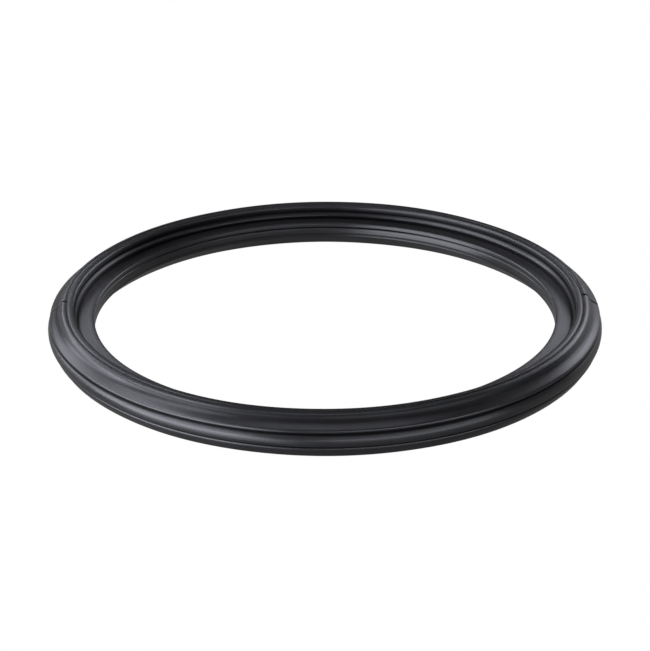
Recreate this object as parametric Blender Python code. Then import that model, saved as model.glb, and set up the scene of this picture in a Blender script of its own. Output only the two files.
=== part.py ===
"""Sealing ring for the lid of a stovetop pressure cooker: one ring of black rubber.

The ring lies flat with its axis on Z and its base on z = 0. Its section is drawn at +X as a
closed outline with rounded corners, in millimetres, and turned once round the axis.
"""

import math

import bmesh
import bpy

MM = 0.001

# Overall sizes
OUTER_DIAMETER = 240.0
HEIGHT = 17.4
SECTION_WIDTH = 20.15  # from the widest bead to the lip, along a radius

# Crown: a flat land, then a shallow cove that falls to a ridge on the outer side
LAND_WIDTH = 5.8
LAND_INNER_ROUND = 1.0
LAND_EDGE_ROUND = 1.6
COVE_WIDTH = 5.05  # from the land's edge to the ridge
COVE_RUN = 1.45  # where the cove turns, outwards from the land's edge
COVE_DROP = 2.9  # and down from it
COVE_ROUND = 5.0
RIDGE_SET_IN = 0.8  # the ridge stands this far inside the widest bead
RIDGE_DROP = 4.95
RIDGE_ROUND = 0.6

# Outer side, from the ridge down
RIDGE_LEAN = 0.35  # the side under the ridge leans out by this much
GROOVE_DROP = 6.7  # from the land to the middle of the groove
GROOVE_DEPTH = 0.6
GROOVE_WIDTH = 1.2
BEAD_FACE = 1.4  # the upright middle of the bead
BEAD_CURVE = 0.55  # how far the bead's upper edge falls back from it
BEAD_EDGE_CURVE = 0.18  # and its lower edge
BEAD_ROUND = 3.0
STEP_HEIGHT = 5.9  # the bead ends in a small step, this far above the base
STEP_FALL = 0.4
FOOT_SET_IN = 0.75  # the foot stands this far inside the widest bead
FOOT_SHOULDER = 2.9  # where the foot turns inwards, above the base
FOOT_LEAN = 0.35
FOOT_SHOULDER_ROUND = 3.0
FOOT_TAPER = 2.55  # from the foot's side to the edge of the base
FOOT_ROUND = 0.8

# Inner side, from the land down: a wall, a small rib, and the corner where the flange begins
WALL_HEIGHT = 3.0
WALL_LEAN = 0.5  # the foot of the wall stands back under the land by this much
RIB_REACH = 1.7  # from the foot of the wall in to the rib's nose
RIB_DROP = 1.4  # and down to it
RIB_HEIGHT = 1.6  # from the nose down to the flange
RIB_UNDERCUT = 0.5
RIB_ROUND = 0.5

# Lip: the flange reaches in from the wall and ends in an upright face with a chamfer under it
LIP_RISE = 0.55  # the lip's edge stands this far above the flange's root
LIP_FACE = 6.8
LIP_ROUND = 0.6
LIP_CORNER_ROUND = 0.8
LIP_GROOVE_DROP = 2.25
LIP_GROOVE_WIDTH = 0.8
LIP_GROOVE_DEPTH = 0.5
LIP_CHAMFER = 5.85

# Underside: a pressure channel round the middle of the base
CHANNEL_WIDTH = 3.6
CHANNEL_DEPTH = 2.6
CHANNEL_DRAFT = 0.4
CHANNEL_ROUND = 0.9

EDGE_ROUND = 0.3  # every corner that has no rounding of its own

# Fineness of the mesh
SEGMENTS = 64
CHORD_ERROR = 0.04

RUBBER_COLOUR = (0.012, 0.012, 0.013, 1.0)
RUBBER_ROUGHNESS = 0.42


def outer_corners():
    """Corners of the section as (radius, height, rounding), from the land's outer edge to the base."""
    outer = OUTER_DIAMETER / 2
    ridge = outer - RIDGE_SET_IN
    land_edge = ridge - COVE_WIDTH
    side = ridge + RIDGE_LEAN
    groove = HEIGHT - GROOVE_DROP
    groove_top = groove + GROOVE_WIDTH / 2
    bead_top = groove - GROOVE_WIDTH / 2
    bead = (bead_top + STEP_HEIGHT) / 2
    foot = outer - FOOT_SET_IN
    return [
        (land_edge, HEIGHT, LAND_EDGE_ROUND),
        (land_edge + COVE_RUN, HEIGHT - COVE_DROP, COVE_ROUND),
        (ridge, HEIGHT - RIDGE_DROP, RIDGE_ROUND),
        (side, groove_top, EDGE_ROUND),
        (side - GROOVE_DEPTH, groove, EDGE_ROUND),
        (outer - BEAD_CURVE, bead_top, EDGE_ROUND),
        (outer, bead + BEAD_FACE / 2, BEAD_ROUND),
        (outer, bead - BEAD_FACE / 2, BEAD_ROUND),
        (outer - BEAD_EDGE_CURVE, STEP_HEIGHT, EDGE_ROUND),
        (foot, STEP_HEIGHT - STEP_FALL, EDGE_ROUND),
        (foot - FOOT_LEAN, FOOT_SHOULDER, FOOT_SHOULDER_ROUND),
        (foot - FOOT_TAPER, 0.0, FOOT_ROUND),
    ]


def inner_corners():
    """Corners from the base's inner edge, up the lip, the rib and the wall, to the land's inner edge."""
    outer = OUTER_DIAMETER / 2
    land = outer - RIDGE_SET_IN - COVE_WIDTH - LAND_WIDTH
    wall = land + WALL_LEAN
    wall_foot = HEIGHT - WALL_HEIGHT
    nose = wall - RIB_REACH
    root = nose + RIB_UNDERCUT
    root_height = wall_foot - RIB_DROP - RIB_HEIGHT
    lip = outer - SECTION_WIDTH
    lip_top = root_height + LIP_RISE
    lip_base = lip_top - LIP_FACE
    groove = lip_top - LIP_GROOVE_DROP
    return [
        (lip + LIP_CHAMFER, 0.0, EDGE_ROUND),
        (lip, lip_base, LIP_CORNER_ROUND),
        (lip, groove - LIP_GROOVE_WIDTH / 2, EDGE_ROUND),
        (lip + LIP_GROOVE_DEPTH, groove, EDGE_ROUND),
        (lip, groove + LIP_GROOVE_WIDTH / 2, EDGE_ROUND),
        (lip, lip_top, LIP_ROUND),
        (root, root_height, EDGE_ROUND),
        (nose, wall_foot - RIB_DROP, RIB_ROUND),
        (wall, wall_foot, RIB_ROUND),
        (land, HEIGHT, LAND_INNER_ROUND),
    ]


def channel_corners(outer_edge, inner_edge):
    """Corners of the pressure channel, in the middle of the base between its two edges."""
    middle = (outer_edge + inner_edge) / 2
    outside = middle + CHANNEL_WIDTH / 2
    inside = middle - CHANNEL_WIDTH / 2
    return [
        (outside, 0.0, EDGE_ROUND),
        (outside - CHANNEL_DRAFT, CHANNEL_DEPTH, CHANNEL_ROUND),
        (inside + CHANNEL_DRAFT, CHANNEL_DEPTH, CHANNEL_ROUND),
        (inside, 0.0, EDGE_ROUND),
    ]


def section_corners():
    """The whole section, down the outer side, across the base and up the inner side."""
    outside = outer_corners()
    inside = inner_corners()
    return outside + channel_corners(outside[-1][0], inside[0][0]) + inside


def rounded(corners):
    """A closed outline in which each corner is an arc tangent to both its sides.

    An arc takes up at most half of the shorter side that it touches.
    """
    outline = []
    for index, (x, y, radius) in enumerate(corners):
        x_before, y_before, _ = corners[index - 1]
        x_after, y_after, _ = corners[(index + 1) % len(corners)]
        heading_in = math.atan2(y - y_before, x - x_before)
        heading_out = math.atan2(y_after - y, x_after - x)
        turn = math.remainder(heading_out - heading_in, 2 * math.pi)
        shorter = min(math.hypot(x - x_before, y - y_before), math.hypot(x_after - x, y_after - y))
        reach = min(radius * math.tan(abs(turn) / 2), shorter / 2.1)
        bend = reach / math.tan(abs(turn) / 2)
        side = math.copysign(1.0, turn)
        centre_x = x - reach * math.cos(heading_in) - side * bend * math.sin(heading_in)
        centre_y = y - reach * math.sin(heading_in) + side * bend * math.cos(heading_in)
        widest_step = 2 * math.acos(1 - CHORD_ERROR / max(bend, 2 * CHORD_ERROR))
        steps = math.ceil(abs(turn) / widest_step)
        for step in range(steps + 1):
            angle = heading_in + turn * step / steps
            outline.append(
                (
                    centre_x + side * bend * math.sin(angle),
                    centre_y - side * bend * math.cos(angle),
                )
            )
    return outline


def turned_mesh(name, outline):
    """The closed outline, drawn at +X in the XZ plane, turned once round Z."""
    bm = bmesh.new()
    points = [bm.verts.new((radius * MM, 0.0, height * MM)) for radius, height in outline]
    edges = [bm.edges.new((points[i - 1], points[i])) for i in range(len(points))]
    bmesh.ops.spin(
        bm,
        geom=points + edges,
        cent=(0.0, 0.0, 0.0),
        axis=(0.0, 0.0, 1.0),
        angle=2 * math.pi,
        steps=SEGMENTS,
        use_merge=True,
    )
    bmesh.ops.recalc_face_normals(bm, faces=bm.faces)
    mesh = bpy.data.meshes.new(name)
    bm.to_mesh(mesh)
    bm.free()
    mesh.shade_smooth()
    mesh.set_sharp_from_angle(angle=math.radians(35))
    return mesh


def rubber():
    """Black moulded rubber."""
    material = bpy.data.materials.new("black_rubber")
    material.use_nodes = True
    shader = material.node_tree.nodes["Principled BSDF"]
    shader.inputs["Base Color"].default_value = RUBBER_COLOUR
    shader.inputs["Roughness"].default_value = RUBBER_ROUGHNESS
    shader.inputs["Metallic"].default_value = 0.0
    return material


for item in list(bpy.data.objects):
    bpy.data.objects.remove(item, do_unlink=True)

ring = bpy.data.objects.new("sealing_ring", turned_mesh("sealing_ring", rounded(section_corners())))
ring.data.materials.append(rubber())
bpy.context.scene.collection.objects.link(ring)
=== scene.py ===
"""Rubber sealing ring for the lid of a stovetop pressure cooker, lying on a white sweep."""

import math

import bpy
import numpy as np
from mathutils import Matrix, Vector


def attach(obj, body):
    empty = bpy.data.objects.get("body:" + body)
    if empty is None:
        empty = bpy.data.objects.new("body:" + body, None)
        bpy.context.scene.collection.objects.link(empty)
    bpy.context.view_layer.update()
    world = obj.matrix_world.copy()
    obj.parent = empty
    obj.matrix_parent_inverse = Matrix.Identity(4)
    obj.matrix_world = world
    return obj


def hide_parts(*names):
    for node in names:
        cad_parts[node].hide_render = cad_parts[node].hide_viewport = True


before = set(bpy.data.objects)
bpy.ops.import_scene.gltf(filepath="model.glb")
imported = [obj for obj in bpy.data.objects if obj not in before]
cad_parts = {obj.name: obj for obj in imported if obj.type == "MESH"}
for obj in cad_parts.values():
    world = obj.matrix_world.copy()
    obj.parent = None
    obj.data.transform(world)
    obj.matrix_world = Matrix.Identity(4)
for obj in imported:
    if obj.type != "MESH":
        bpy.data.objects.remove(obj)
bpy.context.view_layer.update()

# ---------------------------------------------------------------------------------------------
# Sealing ring. One loop of black EPDM rubber, compression moulded in a ring tool that splits
# along the crown; the tool's halves also meet at +X and -X, and leave a thin line across the
# crown and the outer side there. It is held by nothing: it rests on its base.
# ---------------------------------------------------------------------------------------------
MM = 0.001
OUTER = 120.0
HEIGHT = 17.4
BORE = 99.85
LAND_INNER = 108.35
RIDGE = 119.2
CHANNEL_MIDDLE = 111.2

# The section's corners as (radius, height, rounding), down the outer side from the crown's land.
OUTER_SIDE = [
    (LAND_INNER + 5.80, HEIGHT, 1.6),  # land's edge
    (LAND_INNER + 7.20, HEIGHT - 2.90, 5.0),  # hollow of the cove
    (RIDGE - 0.20, HEIGHT - 4.85, 1.3),  # ridge
    (RIDGE + 0.05, HEIGHT - 5.80, 0.8),
    (RIDGE - 0.60, HEIGHT - 6.60, 0.6),  # groove under the ridge
    (OUTER - 0.65, HEIGHT - 7.50, 1.0),
    (OUTER, 8.40, 3.0),  # bead
    (OUTER, 6.90, 3.0),
    (OUTER - 0.25, 5.60, 0.7),
    (OUTER - 1.60, 4.95, 0.5),  # groove over the foot
    (OUTER - 1.05, 4.25, 0.9),
    (OUTER - 1.30, 3.10, 2.0),  # foot
    (OUTER - 3.30, 0.0, 0.8),
]
UNDERSIDE = [
    (CHANNEL_MIDDLE + 1.8, 0.0, 0.3),
    (CHANNEL_MIDDLE + 1.4, 2.6, 0.9),
    (CHANNEL_MIDDLE - 1.4, 2.6, 0.9),
    (CHANNEL_MIDDLE - 1.8, 0.0, 0.3),
]
INNER_SIDE = [
    (BORE + 5.85, 0.0, 0.3),  # chamfer under the lip
    (BORE + 0.25, 5.15, 0.8),
    (BORE + 0.25, 6.25, 0.8),
    (BORE, 7.05, 0.8),
    (BORE, 9.30, 0.3),
    (BORE + 0.50, 9.70, 0.2),  # groove in the lip's face
    (BORE, 10.10, 0.25),
    (BORE + 0.15, 11.95, 0.6),  # lip
    (LAND_INNER - 0.65, HEIGHT - 6.00, 0.4),  # root of the flange
    (LAND_INNER - 1.00, HEIGHT - 4.40, 1.2),  # rib
    (LAND_INNER + 0.40, HEIGHT - 3.00, 1.0),  # foot of the wall
    (LAND_INNER, HEIGHT, 1.0),
]


def section(corners, fineness, longest):
    """The closed outline of the section, as an array of (radius, height) in millimetres.

    Each corner becomes an arc tangent to its two sides, in steps whose chords leave the arc by
    no more than fineness. Straight runs are then divided so that no step is over longest.
    """
    corners = np.array(corners)
    here, rounding = corners[:, :2], corners[:, 2]
    before, after = np.roll(here, 1, 0), np.roll(here, -1, 0)
    lead_in, lead_out = here - before, after - here
    heading_in = np.arctan2(lead_in[:, 1], lead_in[:, 0])
    turn = np.arctan2(lead_out[:, 1], lead_out[:, 0]) - heading_in
    turn = (turn + np.pi) % (2 * np.pi) - np.pi
    room = 0.48 * np.minimum(np.hypot(*lead_in.T), np.hypot(*lead_out.T))
    reach = np.minimum(rounding * np.tan(np.abs(turn) / 2), room)
    bend = reach / np.tan(np.abs(turn) / 2) * np.sign(turn)
    centre = here - reach[:, None] * np.stack([np.cos(heading_in), np.sin(heading_in)], 1)
    centre += bend[:, None] * np.stack([-np.sin(heading_in), np.cos(heading_in)], 1)
    steps = np.ceil(np.abs(turn) / (2 * np.arccos(1 - fineness / np.maximum(np.abs(bend), 0.1))))
    arcs = []
    for c, b, h, t, n in zip(centre, bend, heading_in, turn, steps.astype(int)):
        angle = h + t * np.linspace(0, 1, n + 1)
        arcs.append(c + b * np.stack([np.sin(angle), -np.cos(angle)], 1))
    points = np.concatenate(arcs)
    ends = np.roll(points, -1, 0)
    pieces = np.ceil(np.hypot(*(ends - points).T) / longest).astype(int)
    share = [np.arange(n)[:, None] / n for n in pieces]
    return np.concatenate([p + (e - p) * s for p, e, s in zip(points, ends, share)])


PARTING_RADIUS = 111.6
FROM_PARTING_LINE = np.array([0.12, 0.24, 0.36, 0.6, 1.2])
land_points = PARTING_RADIUS + np.concatenate([-FROM_PARTING_LINE[::-1], [0.0], FROM_PARTING_LINE])


def with_land_points(outline):
    """The outline with extra points across the crown's land, close together at the parting line."""
    on_top = outline[:, 1] > HEIGHT - 1e-6
    replaced = on_top & (np.abs(outline[:, 0] - PARTING_RADIUS) < 1.5 * FROM_PARTING_LINE[-1])
    outline, on_top = outline[~replaced], on_top[~replaced]
    last_inside = np.flatnonzero(on_top & (outline[:, 0] < PARTING_RADIUS))[-1]
    extra = np.stack([land_points, np.full(len(land_points), HEIGHT)], 1)
    return np.insert(outline, last_inside + 1, extra, 0)


def azimuths(count, marks, near):
    """Angles round the axis: count even steps, and closer ones at the distances near of each mark."""
    even = np.arange(count) * 2 * np.pi / count
    offsets = np.concatenate([-near[::-1], near[1:]]) / OUTER
    clear = np.ones(count, bool)
    for mark in marks:
        away = np.abs((even - mark + np.pi) % (2 * np.pi) - np.pi)
        clear &= away > offsets.max() + 0.5 / OUTER
    close = np.concatenate([mark + offsets for mark in marks])
    return np.sort(np.concatenate([even[clear], close % (2 * np.pi)]))


MARKS = (0.0, np.pi)
NEAR_A_MARK = np.array([0.0, 0.08, 0.16, 0.25, 0.36, 0.5, 0.7, 1.0, 1.4])
outline = with_land_points(section(OUTER_SIDE + UNDERSIDE + INNER_SIDE, 0.008, 1.5))
theta = azimuths(500, MARKS, NEAR_A_MARK)[:, None]


def bump(x, width):
    """A smooth hill of height 1 at x = 0, which falls to 1/e at width."""
    return np.exp(-((x / width) ** 2))


HOLLOW_SPAN = 0.9


def hollowness(outline, normal):
    """How far each point of the outline lies inside a groove, from 0 on open skin to 1.

    It is the depth of the point under the middle of the chord that joins the outline's points
    one span before and one span after it, as a share of the span, times four.
    """
    step = np.hypot(*(np.roll(outline, -1, 0) - outline).T)
    along = np.concatenate([[0], np.cumsum(step)[:-1]])
    middle = np.zeros_like(outline)
    for side in (-HOLLOW_SPAN, HOLLOW_SPAN):
        for axis in (0, 1):
            middle[:, axis] += np.interp(along + side, along, outline[:, axis], period=step.sum()) / 2
    return np.clip(4 * ((middle - outline) * normal).sum(1) / HOLLOW_SPAN, 0, 1)


PARTING_WIDTH = 0.26
PARTING_DEPTH = 0.36
PARTING_SWING = 0.10  # how much deeper it gets on one side of the ring
PARTING_DEEPEST = -0.8  # azimuth of that side, in radians
MARK_WIDTH = 0.42
MARK_DEPTH = 1.0
MARK_WANDER = 0.12  # how far a mark strays from a straight line
MARK_END = 5.3  # height over the base where the marks stop
MARK_FADE = 0.6  # height that they take to reach full depth from there
FLASH_OFFSET = 0.55  # raised edge beside each mark
FLASH_WIDTH = 0.35
FLASH_HEIGHT = 0.10
# Waves as (height, number round the ring, slant with the section's height, phase).
WAVES = [(0.05, 5, 0.4, 0.7), (0.03, 11, -0.3, 0.0)]
WANDER = [(0.05, 7, 0.0, 1.0), (0.04, 17, 0.0, 0.0)]
DENT = 0.9  # how far the foot is pushed inward
DENT_TOP = 9.0
DENT_BOTTOM = 2.0
DENT_AT = np.radians(222)
DENT_WIDTH = np.radians(32)


def waves(rows, theta, height):
    """Sum of sines round the ring, one for each row."""
    return sum(tall * np.sin(count * theta + slant * height + phase) for tall, count, slant, phase in rows)


def turned_ring(outline, theta):
    """Radius, height and painted groove shade (0 to 1) of the ring at each azimuth (rows) and outline
    point (columns).

    The outline is turned round Z, then moved along its own outward normal by what moulding and
    handling leave: a parting line sunk into the land, the two marks across the outer side, faint
    waves along the ring, and a foot that is a little out of round.
    """
    radius, height = outline[None, :, 0], outline[None, :, 1]
    along = np.roll(outline, -1, 0) - np.roll(outline, 1, 0)
    normal = np.stack([-along[:, 1], along[:, 0]], 1)
    normal /= np.hypot(*normal.T)[:, None]
    # painted shade: the deeper a point lies in a groove of the section, the darker the material paints it
    painted_groove_shade = np.broadcast_to(hollowness(outline, normal), (len(theta), len(outline))).copy()
    push = np.zeros(painted_groove_shade.shape)
    # the parting line, sunk into the land, with painted shade along it that is darkest where it is deepest
    on_crown = height > HEIGHT - 1.0
    deeper = np.cos(theta - PARTING_DEEPEST)
    parting = bump(radius - PARTING_RADIUS, PARTING_WIDTH) * on_crown
    push -= (PARTING_DEPTH + PARTING_SWING * deeper) * parting
    painted_groove_shade += parting * (0.7 + 0.3 * deeper)
    # the two marks, from the parting line over the ridge and the bead to the groove over the foot, with
    # painted shade along them
    outer = np.clip((radius - PARTING_RADIUS) / 0.3, 0, 1)
    outer = outer * np.clip((height - MARK_END) / MARK_FADE, 0, 1)
    for mark in MARKS:
        side = (theta - mark + np.pi) % (2 * np.pi) - np.pi
        run = side * OUTER + MARK_WANDER * np.sin(height * 0.9 + mark)
        push -= MARK_DEPTH * bump(run, MARK_WIDTH) * outer
        painted_groove_shade += 1.6 * bump(run, 1.2 * MARK_WIDTH) * outer
        push += FLASH_HEIGHT * bump(run - FLASH_OFFSET, FLASH_WIDTH) * outer
    push += waves(WAVES, theta, height)
    # the land's points go with the parting line as it wanders
    radius = radius + waves(WANDER, theta, height) * bump(radius - PARTING_RADIUS, 1.0) * on_crown
    radius = radius + push * normal[None, :, 0]
    height = height + push * normal[None, :, 1]
    # the foot, dented inward on one side
    low = np.clip((DENT_TOP - height) / (DENT_TOP - DENT_BOTTOM), 0, 1)
    low = low * np.clip((radius - CHANNEL_MIDDLE - 2) / 3, 0, 1)
    away = (theta - DENT_AT + np.pi) % (2 * np.pi) - np.pi
    radius = radius - DENT * low * bump(away, DENT_WIDTH)
    return radius, height, np.clip(painted_groove_shade, 0, 1)


def ring_mesh(name, outline, theta):
    """A closed mesh of quads over the grid of azimuths and outline points."""
    radius, height, painted_groove_shade = turned_ring(outline, theta)
    rows, columns = radius.shape
    points = np.stack([radius * np.cos(theta), radius * np.sin(theta), height], -1) * MM
    points[..., 2] -= points[..., 2].min()
    i, j = np.meshgrid(np.arange(rows), np.arange(columns), indexing="ij")
    up, on = (i + 1) % rows, (j + 1) % columns
    quads = np.stack([i * columns + j, i * columns + on, up * columns + on, up * columns + j], -1)
    mesh = bpy.data.meshes.new(name)
    mesh.from_pydata(points.reshape(-1, 3), [], quads.reshape(-1, 4))
    step = np.hypot(*(np.roll(outline, -1, 0) - outline).T)
    across = np.concatenate([[0], np.cumsum(step)[:-1]]) * MM
    attribute = mesh.attributes.new("across", "FLOAT", "POINT")
    attribute.data.foreach_set("value", np.broadcast_to(across, (rows, columns)).ravel().copy())
    attribute = mesh.attributes.new("painted_groove_shade", "FLOAT", "POINT")
    attribute.data.foreach_set("value", painted_groove_shade.ravel())
    mesh.shade_smooth()
    mesh.validate()
    return mesh


def linear(code):
    """An sRGB hex colour as linear red, green, blue and alpha."""
    parts = np.array([int(code[k : k + 2], 16) for k in (1, 3, 5)]) / 255
    parts = np.where(parts <= 0.04045, parts / 12.92, ((parts + 0.055) / 1.055) ** 2.4)
    return (*parts, 1.0)


def node(tree, kind, settings=(), **links):
    """Adds a node of this kind, with its settings, and its inputs by name as values or sockets."""
    made = tree.nodes.new("ShaderNode" + kind)
    for key, value in dict(settings).items():
        setattr(made, key, value)
    for key, value in links.items():
        socket = made.inputs[int(key[1:])] if key[0] == "_" else made.inputs[key.replace("_", " ")]
        if isinstance(value, bpy.types.NodeSocket):
            tree.links.new(value, socket)
        else:
            socket.default_value = value
    return made


MARKS_APART = 0.0005
MARKS_LENGTH = 0.060
GRAIN = 0.0004
BLOOM_PATCH = 0.014


def moulded_black_epdm():
    """EPDM rubber as moulded: near black with a satin skin that keeps the tool's turning marks.

    To the eye: soft highlights stretched across the turning marks, a fine streak along the ring,
    and a thin grey bloom that comes and goes. Grooves get painted shade: darker colour, less shine.
    """
    material = bpy.data.materials.new("moulded_black_epdm")
    material.use_nodes = True
    tree = material.node_tree
    shader = tree.nodes["Principled BSDF"]
    shader.inputs["IOR"].default_value = 1.5
    shader.inputs["Anisotropic"].default_value = 0.5
    shader.inputs["Anisotropic Rotation"].default_value = 0.25
    tangent = node(tree, "Tangent", dict(direction_type="RADIAL", axis="Z")).outputs[0]
    tree.links.new(tangent, shader.inputs["Tangent"])

    place = node(tree, "TexCoord").outputs["Object"]
    across = node(tree, "Attribute", dict(attribute_name="across")).outputs["Fac"]
    x, y, _ = node(tree, "SeparateXYZ", _0=place).outputs
    # turning marks, drawn out along the ring; coarser than the real 0.1 mm, which wouldn't be seen
    times = dict(operation="MULTIPLY")
    streak_at = node(
        tree,
        "CombineXYZ",
        _0=node(tree, "Math", times, _0=across, _1=1 / MARKS_APART).outputs[0],
        _1=node(tree, "Math", times, _0=x, _1=1 / MARKS_LENGTH).outputs[0],
        _2=node(tree, "Math", times, _0=y, _1=1 / MARKS_LENGTH).outputs[0],
    ).outputs[0]
    streak = node(tree, "TexNoise", Vector=streak_at, Scale=1.0, Detail=2.0, Roughness=0.6)
    # spark-eroded grain of the tool
    grain = node(tree, "TexNoise", Vector=place, Scale=1 / GRAIN, Detail=2.0)
    patches = node(tree, "TexNoise", Vector=place, Scale=1 / BLOOM_PATCH, Detail=4.0, Roughness=0.6)

    # black rubber under a thin grey bloom
    bloom = node(tree, "MapRange", Value=patches.outputs[0], From_Min=0.3, From_Max=0.7).outputs[0]
    bare, bloomed = linear("#101011"), linear("#19191b")
    mixed = dict(data_type="RGBA")
    open_skin = node(tree, "Mix", mixed, Factor=bloom, _6=bare, _7=bloomed).outputs[2]
    # painted shade: in grooves, along the parting line and in the marks the colour goes to near black,
    # with no bloom, and the shine is lowered, on top of the shading that their shape gives
    painted_groove_shade = node(tree, "Attribute", dict(attribute_name="painted_groove_shade")).outputs["Fac"]
    skin = node(tree, "Mix", mixed, Factor=painted_groove_shade, _6=open_skin, _7=linear("#070707")).outputs[2]
    tree.links.new(skin, shader.inputs["Base Color"])
    shine = node(tree, "MapRange", Value=painted_groove_shade, To_Min=0.5, To_Max=0.04).outputs[0]
    tree.links.new(shine, shader.inputs["Specular IOR Level"])
    satin = node(
        tree,
        "MapRange",
        Value=streak.outputs[0],
        From_Min=0.3,
        From_Max=0.7,
        To_Min=0.28,
        To_Max=0.40,
    ).outputs[0]
    tree.links.new(satin, shader.inputs["Roughness"])
    lines = node(tree, "Bump", Height=streak.outputs[0], Strength=0.12, Distance=0.00004).outputs[0]
    grit = node(
        tree,
        "Bump",
        Height=grain.outputs[0],
        Strength=0.2,
        Distance=0.00004,
        Normal=lines,
    ).outputs[0]
    tree.links.new(grit, shader.inputs["Normal"])
    return material


ring = bpy.data.objects.new("lid_sealing_ring", ring_mesh("lid_sealing_ring", outline, theta))
bpy.context.scene.collection.objects.link(ring)
ring.data.materials.append(moulded_black_epdm())
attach(ring, "root")
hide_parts("sealing_ring")

# ---------------------------------------------------------------------------------------------
# White sweep. A sheet of opal acrylic lit from below, under the ring and far past it. Only the
# camera sees it, so it takes no shadow; the pale lower half of the room stands for its light.
# ---------------------------------------------------------------------------------------------
SWEEP_SIDE = 12.0
SWEEP_GLOW = 1.0


def lit_opal_acrylic():
    """Opal acrylic with light behind it: an even white with no gloss to be seen."""
    material = bpy.data.materials.new("lit_opal_acrylic")
    material.use_nodes = True
    shader = material.node_tree.nodes["Principled BSDF"]
    shader.inputs["Base Color"].default_value = linear("#000000")
    shader.inputs["Specular IOR Level"].default_value = 0.0
    shader.inputs["Roughness"].default_value = 1.0
    shader.inputs["Emission Color"].default_value = linear("#ffffff")
    shader.inputs["Emission Strength"].default_value = SWEEP_GLOW
    return material


corner = SWEEP_SIDE / 2
sweep_mesh = bpy.data.meshes.new("sweep")
sweep_mesh.from_pydata(
    [(-corner, -corner, 0), (corner, -corner, 0), (corner, corner, 0), (-corner, corner, 0)],
    [],
    [(0, 1, 2, 3)],
)
sweep = bpy.data.objects.new("sweep", sweep_mesh)
bpy.context.scene.collection.objects.link(sweep)
sweep_mesh.materials.append(lit_opal_acrylic())
sweep.visible_diffuse = False
sweep.visible_glossy = False
sweep.visible_shadow = False

# ---------------------------------------------------------------------------------------------
# Light. A dim room with a pale floor, a large soft box low on the left with one under it and one
# over it, a smaller one low in front, and weak ones at the right, behind and above.
# ---------------------------------------------------------------------------------------------
# The room's colour by the height that a ray points to, from straight down at 0 to straight up at 1.
ROOM = [
    (0.00, (0.12, 0.12, 0.123)),
    (0.25, (0.26, 0.26, 0.26)),
    (0.48, (0.36, 0.36, 0.36)),
    (0.52, (0.09, 0.09, 0.09)),
    (1.00, (0.09, 0.09, 0.092)),
]

world = bpy.data.worlds.new("studio")
bpy.context.scene.world = world
world.use_nodes = True
tree = world.node_tree
direction = node(tree, "TexCoord").outputs["Generated"]
up = node(tree, "SeparateXYZ", _0=direction).outputs[2]
height = node(tree, "MapRange", Value=up, From_Min=-1.0, From_Max=1.0).outputs[0]
fall = node(tree, "ValToRGB", Fac=height)
background = tree.nodes["Background"]
tree.links.new(fall.outputs[0], background.inputs["Color"])
ramp = fall.color_ramp
ramp.elements[0].color = (*ROOM[0][1], 1)
ramp.elements[1].color = (*ROOM[-1][1], 1)
for at, colour in ROOM[1:-1]:
    ramp.elements.new(at).color = (*colour, 1)

LAMP_COLOUR = "#f1f3ff"
LAMP_DISTANCE = 1.6


def soft_box(name, azimuth, elevation, width, height, power):
    """A rectangular soft box that faces the ring's middle, azimuth from +X towards +Y."""
    light = bpy.data.lights.new(name, "AREA")
    light.shape = "RECTANGLE"
    light.size, light.size_y = width, height
    light.energy = power
    light.color = linear(LAMP_COLOUR)[:3]
    lamp = bpy.data.objects.new(name, light)
    a, e = math.radians(azimuth), math.radians(elevation)
    away = Vector((math.cos(a) * math.cos(e), math.sin(a) * math.cos(e), math.sin(e)))
    lamp.location = away * LAMP_DISTANCE
    lamp.rotation_mode = "QUATERNION"
    lamp.rotation_quaternion = away.to_track_quat("Z", "Y")
    lamp.visible_camera = False
    bpy.context.scene.collection.objects.link(lamp)


soft_box("left", 207, 4, 2.2, 0.6, 34.0)
soft_box("left_low", 218, -18, 2.0, 0.6, 26.0)
soft_box("left_high", 182, 48, 1.4, 0.6, 17.0)
soft_box("left_back", 160, 12, 1.2, 0.5, 9.0)
soft_box("front", 300, 4, 2.2, 0.5, 15.0)
soft_box("right", 10, 40, 1.4, 0.6, 1.0)
soft_box("back_right", 52, 26, 1.2, 0.5, 7.0)
soft_box("right_back", 42, 8, 1.2, 0.5, 1.0)
soft_box("back_left", 126, 28, 1.2, 0.5, 6.5)
soft_box("top", 0, 88, 1.0, 1.0, 4.0)

# ---------------------------------------------------------------------------------------------
# Camera. A 142 mm lens a little over a metre away, looking down at 24 degrees.
# ---------------------------------------------------------------------------------------------
CAMERA_ELEVATION = 0.413269
CAMERA_DISTANCE = 1.116
CAMERA_TURN = math.radians(-1.35)
CAMERA_PITCH = 0.010725
CAMERA_ROLL = 0.003847

lens = bpy.data.cameras.new("camera")
lens.sensor_width = 36.0
lens.lens = 142.2
camera = bpy.data.objects.new("camera", lens)
aim = Vector((0, 0, HEIGHT * MM))
stand = Matrix.Rotation(CAMERA_TURN, 4, "Z") @ Matrix.Translation(aim)
stand = stand @ Matrix.Rotation(math.pi / 2 - CAMERA_ELEVATION, 4, "X")
stand = stand @ Matrix.Translation((0, 0, CAMERA_DISTANCE))
stand = stand @ Matrix.Rotation(-CAMERA_PITCH, 4, "X") @ Matrix.Rotation(-CAMERA_ROLL, 4, "Z")
camera.matrix_world = stand
bpy.context.scene.collection.objects.link(camera)
bpy.context.scene.camera = camera
bpy.context.scene.view_settings.view_transform = "Standard"
